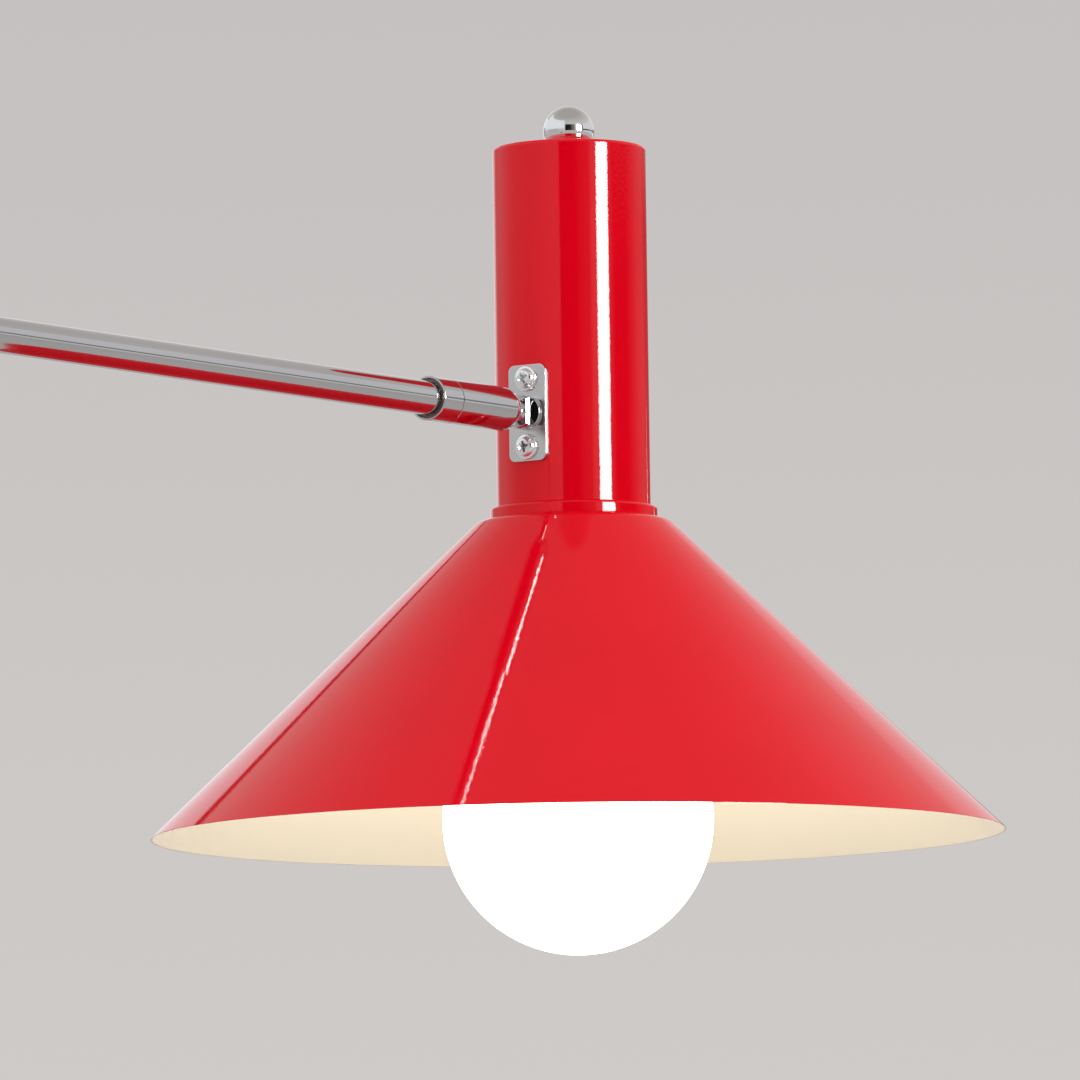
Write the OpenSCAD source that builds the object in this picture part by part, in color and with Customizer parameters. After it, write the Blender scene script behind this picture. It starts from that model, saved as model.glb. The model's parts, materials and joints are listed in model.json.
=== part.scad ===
// Counterbalanced desk lamp: a round weighted base, a chrome stem with a fork on top, a long chrome arm with a
// counterweight, and a conical shade under a slim housing that hangs from a ball joint at the arm's end.
// Origin at the centre of the base's underside, +Z up, the arm runs along +X to the lamp head.

/* [Shade] */
// Diameter of the shade at its rim
shade_d = 300; // [260:1:340]
// Height of the shade from its rim to its flat top
shade_h = 111; // [100:1:120]
// Diameter where the cone would meet the flat top with no rounding
shade_top_d = 66.8; // [64:0.2:72]
// Outer radius that rounds the shoulder
shoulder_r = 6; // [3:0.5:8]
// Thickness of the shade's sheet steel
shade_t = 0.6; // [0.6:0.1:1.2]

/* [Head housing] */
// Outside diameter of the housing tube
housing_d = 54; // [54:0.5:56]
// Height of the housing tube above the collar
housing_h = 127.5; // [120:0.5:140]
// Wall of the housing
housing_t = 1; // [0.8:0.1:1]
// Radius of the housing's top edge
housing_edge_r = 1.6; // [1:0.1:2]
// Diameter of the collar between housing and shade
collar_d = 58.7; // [58:0.1:60]
// Height of the collar that shows
collar_h = 4.4; // [3:0.1:6]
// Diameter of the ball knob on the housing
knob_ball_d = 18; // [17:0.5:20]

/* [Bulb] */
// Diameter of the globe bulb
globe_d = 95; // [80:1:95]
// Height of the globe's centre above the shade's rim
globe_z = 5.6; // [0:0.1:10]

/* [Arm] */
// Height of the arm's axis above the table
arm_z = 560; // [500:5:620]
// Distance from the stem's axis to the lamp head's axis
arm_reach = 470; // [430:5:520]
// Distance from the stem's axis to the arm's rear end
arm_rear = 316; // [316:2:340]
// Outside diameter of the arm tube
arm_d = 12; // [12:0.1:12]
// Outside diameter of the ball joint's socket
socket_d = 15.5; // [15:0.1:17]
// Height of the arm's axis above the shade's rim
arm_above_rim = 146.7; // [140:0.1:150]

/* [Counterweight] */
// Diameter of the counterweight
weight_d = 60; // [50:1:60]
// Length of the counterweight
weight_l = 88; // [70:1:90]
// Distance from the stem's axis to the counterweight's middle
weight_x = 250; // [240:1:250]

/* [Base] */
// Diameter of the base
base_d = 230; // [210:1:260]
// Height of the base
base_h = 20; // [20:1:20]
// Radius of the base's top edge
base_edge_r = 6; // [4:0.5:7]
// Outside diameter of the stem
stem_d = 16; // [16:0.5:16]

/* [Hidden] */
$fn = 96;
fit = 0.02;        // gap of parts that are pressed or clamped together
run = 0.07;        // radial clearance of parts that turn or slide in each other
red = "#d4131c";
chrome = "#c9cbd0";
white = "#f3ead6";

rim_z = arm_z - arm_above_rim;
collar_top = shade_h + collar_h;
housing_top = collar_top + housing_h;
housing_r = housing_d / 2;
bore_r = housing_r - housing_t;      // inside of the housing
cone_angle = atan2(shade_h, shade_d / 2 - shade_top_d / 2);

arm_r = arm_d / 2;
arm_bore_r = arm_r - 1;
socket_r = socket_d / 2;
ball_r = 5;                          // ball of the stud
liner_r = 5.65;                      // outside of the nylon liner round it
cavity_r = 5.68;                     // the socket's spherical seat
socket_bore_r = 5.75;
ball_out = 45;                       // ball centre to the head's axis
ball_x = arm_reach - ball_out;
seam_v = 32;                         // ball centre to the seam between socket and collar
seam_gap = 0.3;
tube_v = 35;                         // ball centre to the arm tube's front end
collar_end_v = 43.5;

plate_face = housing_r + 1.2;        // head axis to the bracket plate's face
plate_w = 15.5;
plate_l = 34;
plate_corner_r = 2.5;
screw_pitch = 24;                    // between the two plate screws
neck_r = 2.2;

drop = 15;                           // arm axis above the tilt pivot
pivot_z = arm_z - drop;
block_r = 11;
block_w = 16;
cheek_y = 8.9;                       // inside of each fork cheek
fork_y = 11.5;                       // flat outside of each cheek
fork_r = 13;
fork_floor_z = pivot_z - 12;
fork_foot_z = fork_floor_z - 18;
stem_top_z = fork_foot_z - 1;
stem_r = stem_d / 2;
stem_bore_r = stem_r - 1.5;
bolt_r = 4;
spigot_r = 4.84;                     // swivel spigot under the fork
spigot_end_z = fork_foot_z - 27;

holder_r = 19.75;
holder_rim_z = 66;                   // heights inside the head are above the shade's rim
holder_flange_z = collar_top + 5.6;
holder_top_z = holder_flange_z + 6;
leg_z = holder_top_z + 0.1;          // underside of the mounting bracket's flat leg
leg_t = 2.5;
cap_z = globe_z - globe_d / 2 + 138; // tip of the bulb's contact
pad_h = 2;
plate_h = 1.5;
weight_top_z = base_h - 1.3;
weight_foot_z = pad_h + plate_h;
gland_z = 10;
nut_top_z = 13.3;
slot_w = 18;                         // wiring slot under the base weight
lead_r = 1.4;
lead_x = 7.5;                        // where the arm's lead leaves through the pivot block

// ---- helpers ----

// Points on an arc about c, from angle a to angle b
function arc(c, r, a, b, n = 10) = [for (i = [0:n]) c + r * [cos(a + (b - a) * i / n), sin(a + (b - a) * i / n)]];

// A rectangle w by h about the origin with round corners
function round_rect(w, h, r) = [for (k = [0:3]) each arc(
    [(w / 2 - r) * (k == 0 || k == 3 ? 1 : -1), (h / 2 - r) * (k < 2 ? 1 : -1)], r, 90 * k, 90 * k + 90, 8)];

// A rounded disc's half profile: radius r from z0 to z1, with edge radii e0 below and e1 above
function disc(r, z0, z1, e0, e1) = concat(
    [[0, z0]], arc([r - e0, z0 + e0], e0, -90, 0, 6), arc([r - e1, z1 - e1], e1, 0, 90, 6), [[0, z1]]);

module turned(points) { rotate_extrude() polygon(points); }

module ring(outer, inner, z0, z1) {
    difference() {
        translate([0, 0, z0]) cylinder(r = outer, h = z1 - z0);
        translate([0, 0, z0 - 1]) cylinder(r = inner, h = z1 - z0 + 2);
    }
}

module hex(flats, z0, z1) { translate([0, 0, z0]) cylinder(d = flats / cos(30), h = z1 - z0, $fn = 6); }

module hex_nut(flats, inner, z0, z1) {
    difference() {
        hex(flats, z0, z1);
        translate([0, 0, z0 - 1]) cylinder(r = inner, h = z1 - z0 + 2);
    }
}

// The lamp head's own frame: origin at the centre of the shade's rim
module in_head() { translate([arm_reach, 0, rim_z]) children(); }

// Local +Z runs from the head's axis back along the arm
module along_arm(x) { translate([x, 0, arm_z]) rotate([0, -90, 0]) children(); }

// Local +Z runs along +Y at the tilt pivot
module at_pivot() { translate([0, 0, pivot_z]) rotate([-90, 0, 0]) children(); }

// Cross recess of a screw, its mouth at z = 0
module cross_recess(size, depth) {
    for (a = [0, 90]) rotate([0, 0, a]) translate([-size / 2, -0.5, -depth]) cube([size, 1, depth + 1]);
}

// A lead of radius r through the points, with 8 sides
function unit(v) = v / norm(v);
module lead(points, r) {
    n = len(points);
    side = [for (i = [0:n - 1]) unit(points[min(i + 1, n - 1)] - points[max(i - 1, 0)])];
    across = [for (t = side) unit(cross(t, abs(t.z) > 0.9 ? [0, 1, 0] : [0, 0, 1]))];
    rings = [for (i = [0:n - 1]) for (k = [0:7])
        points[i] + r * (cos(45 * k) * across[i] + sin(45 * k) * cross(side[i], across[i]))];
    faces = concat(
        [[for (k = [0:7]) k]],
        [for (i = [0:n - 2]) for (k = [0:7]) [8 * i + k, 8 * (i + 1) + k, 8 * (i + 1) + (k + 1) % 8, 8 * i + (k + 1) % 8]],
        [[for (k = [7:-1:0]) 8 * (n - 1) + k]]);
    polyhedron(rings, faces);
}

// ---- base ----

module base_pad() {
    color("#2a2a2a") difference() {
        cylinder(r = base_d / 2 - 7, h = pad_h);
        for (a = [60, 180, 300]) rotate(a) translate([base_d / 2 - 22, 0, -1]) cylinder(r = 4.5, h = pad_h + 2);
    }
}

module base_plate() {
    color("#55585c") difference() {
        translate([0, 0, pad_h]) cylinder(r = base_d / 2 - 2.6, h = plate_h);
        for (a = [60, 180, 300]) rotate(a) translate([base_d / 2 - 22, 0, 0]) cylinder(r = 2.2, h = 10);
    }
}

module base_plate_screws() {
    color(chrome) for (a = [60, 180, 300]) rotate(a) translate([base_d / 2 - 22, 0, 0]) difference() {
        union() {
            translate([0, 0, 0.4]) cylinder(r = 3.8, h = pad_h - 0.4);
            cylinder(r = 1.95, h = 12);
        }
        rotate([180, 0, 0]) translate([0, 0, -0.4]) cross_recess(4, 1);
    }
}

module base_weight() {
    color("#3a3c3f") difference() {
        translate([0, 0, weight_foot_z]) cylinder(r = base_d / 2 - 7, h = weight_top_z - weight_foot_z);
        translate([0, 0, -1]) cylinder(r = 5.3, h = 40);
        cylinder(r = 16, h = nut_top_z + 1.2);
        translate([-base_d / 2, -slot_w / 2, 0]) cube([base_d / 2, slot_w, 14.5]);
        for (a = [60, 180, 300]) rotate(a) translate([base_d / 2 - 22, 0, 0]) cylinder(r = 2, h = 14);
    }
}

module base_shell() {
    r = base_d / 2;
    t = 1.2;
    color(red) difference() {
        turned(concat(
            [[5.3, base_h]], [[r - base_edge_r, base_h]], arc([r - base_edge_r, base_h - base_edge_r], base_edge_r, 84, 0, 12),
            [[r, pad_h], [r - t, pad_h]], arc([r - base_edge_r, base_h - base_edge_r], base_edge_r - t, 0, 84, 12),
            [[r - base_edge_r, base_h - t], [5.3, base_h - t]]));
        translate([-r - 5, 0, gland_z]) rotate([0, 90, 0]) cylinder(r = 4.6, h = 12);
    }
}

module stem_flange() {
    color(chrome) translate([0, 0, base_h]) turned(concat(
        [[stem_r + fit, 0], [18, 0], [18, 1.6]], arc([18, 11], 9.4, 268, 182, 12), [[stem_r + fit, 11]]));
}

module stem_tube() { color(chrome) ring(stem_r, stem_bore_r, base_h, stem_top_z); }

module stem_plug() {
    color("#9a9ca0") difference() {
        union() {
            translate([0, 0, base_h]) cylinder(r = stem_bore_r - fit, h = 22);
            translate([0, 0, 8.2]) cylinder(r = 4.95, h = 16);
        }
        cylinder(r = 2.6, h = 60);
    }
}

module stem_washer() { color("#9a9ca0") ring(12, 5.1, nut_top_z + 0.1, nut_top_z + 1.1); }

module stem_nut() { color("#9a9ca0") hex_nut(17, 5, nut_top_z - 4.9, nut_top_z); }

module swivel_bush() {
    color("#e8e4d8") difference() {
        union() {
            translate([0, 0, stem_top_z]) cylinder(r = stem_r, h = fork_foot_z - stem_top_z - fit);
            translate([0, 0, stem_top_z - 22]) cylinder(r = stem_bore_r - fit, h = 22.5);
        }
        translate([0, 0, stem_top_z - 30]) cylinder(r = spigot_r + run, h = 40);
    }
}

module cable_gland() {
    color("#222222") translate([-base_d / 2, 0, gland_z]) rotate([0, 90, 0]) difference() {
        union() {
            translate([0, 0, -5]) cylinder(r1 = 4.2, r2 = 5.5, h = 5);
            cylinder(r = 4.5, h = 6.4);
            translate([0, 0, 1.5]) cylinder(r1 = 5.1, r2 = 4.6, h = 2.5);
        }
        translate([0, 0, -9]) cylinder(r = 3.2, h = 20);
    }
}

module terminal_block() {
    color("#e8e4d8") translate([-70, -7, weight_foot_z]) difference() {
        cube([22, 14, 9]);
        for (y = [3.5, 10.5]) {
            translate([-1, y, 3.5]) rotate([0, 90, 0]) cylinder(r = 1.5, h = 24);
            for (x = [5, 17]) translate([x, y, 3.5]) cylinder(r = 1.6, h = 9);
        }
    }
}

stem_route = [
    [-47.5, 3.5, 7], [-40, 3, 6.6], [-28, 1.5, 5.9], [-16, 0.3, 5.6], [-7, 0, 5.6], [-3.4, 0, 6.1],
    [-1, 0, 7.8], [0, 0, 10.5], [0, 0, 16], [0, 0, fork_floor_z - 0.6]];

module stem_lead() { color("#eeeeee") lead(stem_route, lead_r); }

// ---- fork on the stem ----

module fork() {
    color(chrome) difference() {
        union() {
            intersection() {
                translate([0, 0, fork_foot_z]) cylinder(r = fork_r, h = 60);
                translate([0, -fork_y, 0]) cube([60, 2 * fork_y, 2000], center = false);
                union() {
                    at_pivot() translate([0, 0, -20]) cylinder(r = fork_r, h = 40);
                    translate([-20, -20, fork_foot_z]) cube([40, 40, pivot_z - fork_foot_z]);
                }
            }
            intersection() {
                translate([0, 0, fork_foot_z]) cylinder(r = fork_r, h = 60);
                translate([-60, -fork_y, 0]) cube([60, 2 * fork_y, 2000]);
                union() {
                    at_pivot() translate([0, 0, -20]) cylinder(r = fork_r, h = 40);
                    translate([-20, -20, fork_foot_z]) cube([40, 40, pivot_z - fork_foot_z]);
                }
            }
            translate([0, 0, spigot_end_z]) cylinder(r = spigot_r, h = 28);
        }
        translate([-30, -cheek_y, fork_floor_z]) cube([60, 2 * cheek_y, 60]);
        translate([0, 0, 0]) cylinder(r = 2.4, h = pivot_z);
        at_pivot() translate([0, 0, -30]) cylinder(r = bolt_r + fit, h = 60);
        ring(spigot_r + 1, 4, spigot_end_z + 2, spigot_end_z + 3.2);
    }
}

module swivel_clip() { color("#9a9ca0") ring(6.2, 4.02, spigot_end_z + 2.1, spigot_end_z + 3.1); }

module pivot_bolt() {
    color(chrome) at_pivot() difference() {
        union() {
            translate([0, 0, -fork_y - 0.1]) cylinder(r = bolt_r, h = 2 * fork_y - 0.1);
            translate([0, 0, fork_y - 1]) cylinder(r = 3, h = 12);
            turned(concat([[0, -fork_y - 3.6]], arc([5.4, -fork_y - 2], 1.6, 270, 180 + 180, 6), [[7, -fork_y], [0, -fork_y]]));
        }
        translate([0, 0, -fork_y - 3.6]) rotate([180, 0, 0]) hex(4, -2.2, 1);
    }
}

module friction_washers() {
    color("#1d1d1d") at_pivot() for (z = [-cheek_y + fit, block_w / 2 + 2 * fit]) ring(10, bolt_r + fit, z, z + 0.8);
}

module knob_spring() {
    color("#9a9ca0") at_pivot() turned([[3.2, fork_y + fit], [7.5, fork_y + 0.7], [7.5, fork_y + 1.2], [3.2, fork_y + 0.6]]);
}

module tilt_knob() {
    knob_z = fork_y + 1.5;
    color(chrome) at_pivot() difference() {
        union() {
            translate([0, 0, knob_z]) cylinder(r = 7.5, h = 3);
            translate([0, 0, knob_z + 3]) turned(disc(11, 0, 11, 1, 1.6));
        }
        translate([0, 0, knob_z - 1]) cylinder(r = 3.05, h = 11);
    }
}

// ---- arm ----

module arm_block() {
    color(chrome) difference() {
        at_pivot() translate([0, 0, -block_w / 2]) linear_extrude(block_w) polygon(concat(
            arc([0, 0], block_r, 0, 180, 24), arc([0, -drop], block_r, 180, 360, 24)));
        at_pivot() translate([0, 0, -20]) cylinder(r = bolt_r + run, h = 40);
        along_arm(40) cylinder(r = arm_r + fit, h = 80);
        translate([0, 0, arm_z]) cylinder(r = 2, h = 20);
        translate([lead_x, 0, pivot_z - 20]) cylinder(r = 1.8, h = 34);
    }
}

module block_grub() {
    color("#9a9ca0") difference() {
        translate([0, 0, arm_z + arm_r + 0.1]) cylinder(r = 1.95, h = 4.6);
        hex(2, arm_z + arm_r + 2.6, arm_z + 20);
    }
}

module arm_tube() {
    color(chrome) difference() {
        along_arm(ball_x - tube_v) ring(arm_r, arm_bore_r, 0, ball_x - tube_v + arm_rear);
        translate([lead_x, 0, arm_z - 12]) cylinder(r = 1.8, h = 12);
    }
}

module arm_end_ball() {
    color(chrome) along_arm(-arm_rear) union() {
        turned(concat([[0, 0]], arc([0, 6], 9, -41.8, 90, 24)));
        translate([0, 0, -14]) cylinder(r = arm_bore_r - fit, h = 15);
    }
}

module arm_spigot() {
    color("#9a9ca0") along_arm(ball_x) difference() {
        union() {
            translate([0, 0, 16]) cylinder(r = socket_bore_r - run, h = tube_v - 16);
            translate([0, 0, tube_v - 5]) cylinder(r = arm_bore_r - fit, h = 26);
        }
        cylinder(r = 2.5, h = 80);
        ring(8, 4.4, 24.9, 27.1);
    }
}

module socket_collar() {
    v0 = seam_v + seam_gap;
    color(chrome) along_arm(ball_x) turned([
        [socket_bore_r, v0], [socket_r - 0.2, v0], [socket_r, v0 + 0.2], [socket_r, collar_end_v - 0.4],
        [socket_r - 0.4, collar_end_v], [socket_r - 0.7, collar_end_v], [socket_r - 0.8, collar_end_v - 0.15],
        [socket_r - 0.8, 39], [arm_r + fit, 39], [arm_r + fit, tube_v], [socket_bore_r, tube_v]]);
}

arm_route = [
    [ball_x - 8.6, 0, arm_z], [16, 0, arm_z], [12.4, 0, arm_z - 0.5], [9.6, 0, arm_z - 2], [7.9, 0, arm_z - 4.6],
    [lead_x, 0, arm_z - 7.5], [lead_x, 0, pivot_z - 8.4]];

module arm_lead() { color("#eeeeee") lead(arm_route, lead_r); }

// ---- counterweight ----

module counterweight() {
    color(red) difference() {
        along_arm(-weight_x) turned(disc(weight_d / 2, -weight_l / 2, weight_l / 2, housing_edge_r, housing_edge_r));
        along_arm(0) cylinder(r = arm_r + run, h = 500);
        translate([-weight_x, 0, arm_z]) cylinder(r = 2.5, h = 60);
    }
}

module weight_screw() {
    top = weight_d / 2;
    color(chrome) translate([-weight_x, 0, arm_z]) union() {
        translate([0, 0, arm_r + 0.1]) cylinder(r = 2.45, h = top);
        translate([0, 0, top + 0.4]) cylinder(r = 4, h = 2);
        translate([0, 0, top + 2.4]) turned(disc(6.5, 0, 7, 0.6, 1));
    }
}

// ---- ball joint ----

module socket_body() {
    mouth_r = 5.5;
    mouth_v = sqrt(pow(socket_r, 2) - pow(mouth_r, 2));
    lip_r = 4.35;
    lip_v = sqrt(pow(cavity_r, 2) - pow(lip_r, 2));
    color(chrome) along_arm(ball_x) difference() {
        turned(concat(
            arc([0, 0], socket_r, -atan2(mouth_v, mouth_r), 0, 16), [[socket_r, seam_v - 0.2], [socket_r - 0.2, seam_v]],
            [[socket_bore_r, seam_v], [socket_bore_r, 0.6]],
            arc([0, 0], cavity_r, 0, -atan2(lip_v, lip_r), 12)));
        translate([0, 0, 26]) rotate([-90, 0, 0]) cylinder(r = 1.5, h = 20);
    }
}

module ball_liner() {
    color("#efefe8") along_arm(ball_x) turned(concat(
        arc([0, 0], liner_r, -39, 28, 16), arc([0, 0], ball_r + 0.04, 28, -39, 16)));
}

module seat_pad() {
    color("#efefe8") along_arm(ball_x) turned(concat(
        [[socket_bore_r - fit, 2.9], [socket_bore_r - fit, 8], [2.4, 8]],
        arc([0, 0], cavity_r + fit, 65, 31, 10)));
}

module seat_springs() {
    color("#9a9ca0") along_arm(ball_x) for (k = [0:2])
        turned(k % 2 == 0
            ? [[3, 8.1 + k], [5.5, 8.5 + k], [5.5, 9 + k], [3, 8.6 + k]]
            : [[3, 8.5 + k], [5.5, 8.1 + k], [5.5, 8.6 + k], [3, 9 + k]]);
}

module preload_plug() {
    color("#9a9ca0") along_arm(ball_x) difference() {
        ring(socket_bore_r - fit, 2.5, 11.4, 15.6);
        translate([-7, -0.6, 14.2]) cube([14, 1.2, 3]);
    }
}

module swivel_grub() {
    color("#9a9ca0") along_arm(ball_x) translate([0, 0, 26]) rotate([-90, 0, 0]) union() {
        translate([0, 0, socket_bore_r + 0.05]) cylinder(r = 1.45, h = 1.7);
        translate([0, 0, 4.6]) cylinder(r = 0.9, h = 2);
    }
}

module ball_stud() {
    ball_u = ball_out - plate_face;
    flare = [for (i = [0:10]) let (t = i / 10) [neck_r + 2.9 * pow(1 - t, 2.2), 2.2 + 6.4 * t]];
    color(chrome) along_arm(arm_reach - plate_face) difference() {
        turned(concat(
            [[0, -1.1], [3, -1.1], [3, 0], [6.1, 0], [6.1, 0.5]], arc([4.6, 0.7], 1.5, 0, 70, 6), flare,
            arc([0, ball_u], ball_r, -acos(neck_r / ball_r), 52, 24), [[0, ball_u + ball_r * sin(52)]]));
        translate([0, 0, -5]) cylinder(r = 1.3, h = 40);
    }
}

// ---- lamp head ----

module bracket_plate() {
    color(chrome) difference() {
        translate([arm_reach - plate_face, 0, arm_z]) rotate([90, 0, 90]) linear_extrude(4)
            polygon(round_rect(plate_w, plate_l, plate_corner_r));
        in_head() cylinder(r = housing_r + fit, h = 400);
        for (s = [-1, 1]) along_arm(arm_reach) translate([s * screw_pitch / 2, 0, 10]) cylinder(r = 2.2, h = 30);
        along_arm(arm_reach) cylinder(r = 3, h = 40);
    }
}

module plate_screws() {
    color(chrome) for (s = [-1, 1]) along_arm(arm_reach - plate_face) translate([s * screw_pitch / 2, 0, 0]) difference() {
        union() {
            turned(concat([[0, 0], [4.5, 0], [4.5, 0.7]], arc([2.6, 0.7], 1.9, 0, 78, 6), [[0, 2.7]]));
            translate([0, 0, -9]) cylinder(r = 1.95, h = 10);
        }
        translate([0, 0, 2.7]) cross_recess(4.4, 1.6);
    }
}

module mount_bracket() {
    x0 = -(bore_r - 1);
    color("#9a9ca0") in_head() difference() {
        union() {
            translate([x0, -6.5, leg_z]) cube([3, 13, 40]);
            translate([x0, -6.5, leg_z]) cube([-x0 + 9, 13, leg_t]);
        }
        cylinder(r = 5.1, h = 300);
        for (z = [-screw_pitch / 2, screw_pitch / 2]) translate([x0 - 1, 0, arm_above_rim + z]) rotate([0, 90, 0]) cylinder(r = 2, h = 10);
        translate([x0 - 1, 0, arm_above_rim]) rotate([0, 90, 0]) cylinder(r = 2.6, h = 10);
    }
}

module housing() {
    e = housing_edge_r;
    color(red) difference() {
        in_head() turned(concat(
            [[housing_r, collar_top]], arc([housing_r - e, housing_top - e], e, 0, 90, 8),
            [[5.05, housing_top], [5.05, housing_top - housing_t]],
            arc([housing_r - e, housing_top - e], e - housing_t, 90, 0, 8), [[bore_r, collar_top]]));
        for (s = [-1, 1]) along_arm(arm_reach) translate([s * screw_pitch / 2, 0, 10]) cylinder(r = 2.2, h = 30);
        along_arm(arm_reach) translate([0, 0, 10]) cylinder(r = 3.4, h = 30);
    }
}

module collar_ring() {
    r = collar_d / 2;
    color(red) in_head() turned(concat(
        [[holder_r + 0.1, shade_h], [r - 0.4, shade_h]], arc([r - 0.4, shade_h + 0.4], 0.4, -90, 0, 4),
        arc([r - 0.7, collar_top - 0.7], 0.7, 0, 90, 6),
        [[bore_r - 0.05, collar_top], [bore_r - 0.05, holder_flange_z], [holder_r + 0.1, holder_flange_z]]));
}

module shade() {
    r = shade_d / 2;
    c = [shade_top_d / 2 - shoulder_r * tan(cone_angle / 2), shade_h - shoulder_r];
    color(red) in_head() turned(concat(
        [[holder_r + 0.25, shade_h]], arc(c, shoulder_r, 90, 90 - cone_angle, 10),
        [[r, 0], [r - shade_t / sin(cone_angle), 0]], arc(c, shoulder_r - shade_t, 90 - cone_angle, 90, 10),
        [[holder_r + 0.25, shade_h - shade_t]]));
}

module shade_ring_nut() {
    z1 = shade_h - shade_t;
    color(white) in_head() difference() {
        ring(26, holder_r + 0.05, z1 - 5, z1 - fit);
        for (a = [0:30:330]) rotate(a) translate([26.6, 0, z1 - 8]) cylinder(r = 1.6, h = 10, $fn = 24);
    }
}

module lamp_holder() {
    color(white) in_head() difference() {
        turned([
            [13.8, holder_rim_z], [holder_r - 0.8, holder_rim_z], [holder_r, holder_rim_z + 1], [holder_r, holder_flange_z],
            [22.5, holder_flange_z], [22.5, holder_flange_z + 2.4], [15, holder_top_z], [5, holder_top_z],
            [5, holder_top_z - 8], [4, holder_top_z - 8], [4, 98], [13.8, 98]]);
    }
}

module holder_thread_shell() { color("#c9a24a") in_head() ring(13.78, 13.35, 71, 91); }

module holder_contact() {
    color("#c9a24a") in_head() union() {
        translate([-6, -2.5, cap_z + 0.1]) cube([12, 5, 0.8]);
        translate([-3, -2.4, cap_z + 0.1]) cube([6, 4.8, 6]);
    }
}

module holder_nipple() { color("#9a9ca0") in_head() ring(4.95, 3.6, holder_top_z - 7.9, leg_z + 8); }

module nipple_nut() { color("#9a9ca0") in_head() hex_nut(14, 5, leg_z + leg_t + 0.05, leg_z + leg_t + 4.5); }

module switch_body() {
    z = housing_top - housing_t - 22;
    color("#202020") in_head() difference() {
        union() {
            translate([0, 0, z]) turned(disc(13, 0, 18, 1, 1));
            translate([0, 0, z + 17]) cylinder(r = 4.95, h = 8);
        }
        translate([0, 0, z + 10]) cylinder(r = 3.05, h = 30);
    }
}

module switch_nuts() {
    color("#9a9ca0") in_head() union() {
        hex_nut(14, 5, housing_top - housing_t - 3, housing_top - housing_t - 0.05);
        ring(6, 5, housing_top + 0.02, housing_top + 1.8);
    }
}

supply_route = [[-41, 0, 0], [-24, 0, 0], [-18, 0, 1], [-13, 2, 6], [-11, 5, 16], [-10, 6, 30], [-9, 6, 50], [-8, 5, 66], [-7, 4, 72.8]];
holder_route = [[8, -6, 72.8], [9, -8, 66], [11, -11, 50], [12, -12, 30], [12, -12, 10], [12, -12, -6], [11, -11, -14]];

module head_leads() {
    color("#eeeeee") translate([arm_reach, 0, arm_z]) union() {
        lead(supply_route, 1.2);
        lead(holder_route, 1.2);
    }
}

// ---- bulb ----

module bulb_globe() {
    r = globe_d / 2;
    t = 1;
    c = [0, globe_z];
    a = 68;
    neck_z = globe_z + r * sin(a);
    color("#ffffff") in_head() turned(concat(
        arc(c, r, -90, a, 40), [[15.4, neck_z + 5], [14.2, neck_z + 10], [13.4, neck_z + 15], [12.6, neck_z + 17.5], [12.6, neck_z + 21.5]],
        [[11.6, neck_z + 21.5], [11.6, neck_z + 17], [12.4, neck_z + 14.5], [13.2, neck_z + 9.5], [14.4, neck_z + 4.5]],
        arc(c, r - t, a, -90, 40)));
}

module bulb_cap() {
    z0 = cap_z - 28;
    thread = [for (i = [0:24]) [12.7 + 0.35 * sin(i * 90), z0 + 4.5 + i * 0.7]];
    color(chrome) in_head() turned(concat([[12.65, z0], [13.2, z0], [13.2, z0 + 4]], thread, [[11.9, z0 + 22.4], [11.8, z0 + 4.5], [12.65, z0 + 4.5]]));
}

module bulb_insulator() {
    z0 = cap_z - 5.6;
    color("#151515") in_head() turned([[0, z0 + 0.1], [11.7, z0 + 0.1], [11.4, z0 + 0.8], [6.5, z0 + 3], [5, z0 + 3.4], [0, z0 + 3.4]]);
}

module bulb_contact() { color("#b9b9b9") in_head() translate([0, 0, cap_z - 2.1]) turned(disc(4.6, 0, 2.1, 0.2, 0.9)); }

module led_core() {
    color("#f6f2e4") in_head() union() {
        translate([0, 0, globe_z + 20]) cylinder(r1 = 7, r2 = 9.5, h = 30);
        translate([0, 0, globe_z + 49]) cylinder(r = 11, h = cap_z - 6.5 - globe_z - 49);
        translate([0, 0, globe_z + 20]) sphere(r = 7);
    }
}

// ---- dimmer knob ----

module switch_knob() {
    r = knob_ball_d / 2;
    foot = 5.4;
    z = housing_top + 0.5 + foot;
    color(chrome) in_head() difference() {
        translate([0, 0, z]) turned(concat([[0, -foot]], arc([0, 0], r, -asin(foot / r), 90, 24)));
        translate([0, 0, z - foot - 1]) cylinder(r = 6.3, h = 3);
        translate([0, 0, z - foot - 1]) cylinder(r = 3, h = 10);
    }
}

module switch_shaft() { color("#9a9ca0") in_head() translate([0, 0, housing_top - 12]) cylinder(r = 2.98, h = 21); }

base_pad();
base_plate();
base_plate_screws();
base_weight();
base_shell();
stem_flange();
stem_tube();
stem_plug();
stem_washer();
stem_nut();
swivel_bush();
cable_gland();
terminal_block();
stem_lead();
fork();
swivel_clip();
pivot_bolt();
friction_washers();
knob_spring();
tilt_knob();
arm_block();
block_grub();
arm_tube();
arm_end_ball();
arm_spigot();
socket_collar();
arm_lead();
counterweight();
weight_screw();
socket_body();
seat_pad();
seat_springs();
preload_plug();
swivel_grub();
ball_liner();
ball_stud();
bracket_plate();
plate_screws();
mount_bracket();
housing();
collar_ring();
shade();
shade_ring_nut();
lamp_holder();
holder_thread_shell();
holder_contact();
holder_nipple();
nipple_nut();
switch_body();
switch_nuts();
head_leads();
bulb_globe();
bulb_cap();
bulb_insulator();
bulb_contact();
led_core();
switch_knob();
switch_shaft();
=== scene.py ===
"""The looks of the counterbalanced desk lamp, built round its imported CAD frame."""

import json
import math

import bmesh
import bpy
from mathutils import Matrix, Vector


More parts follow.
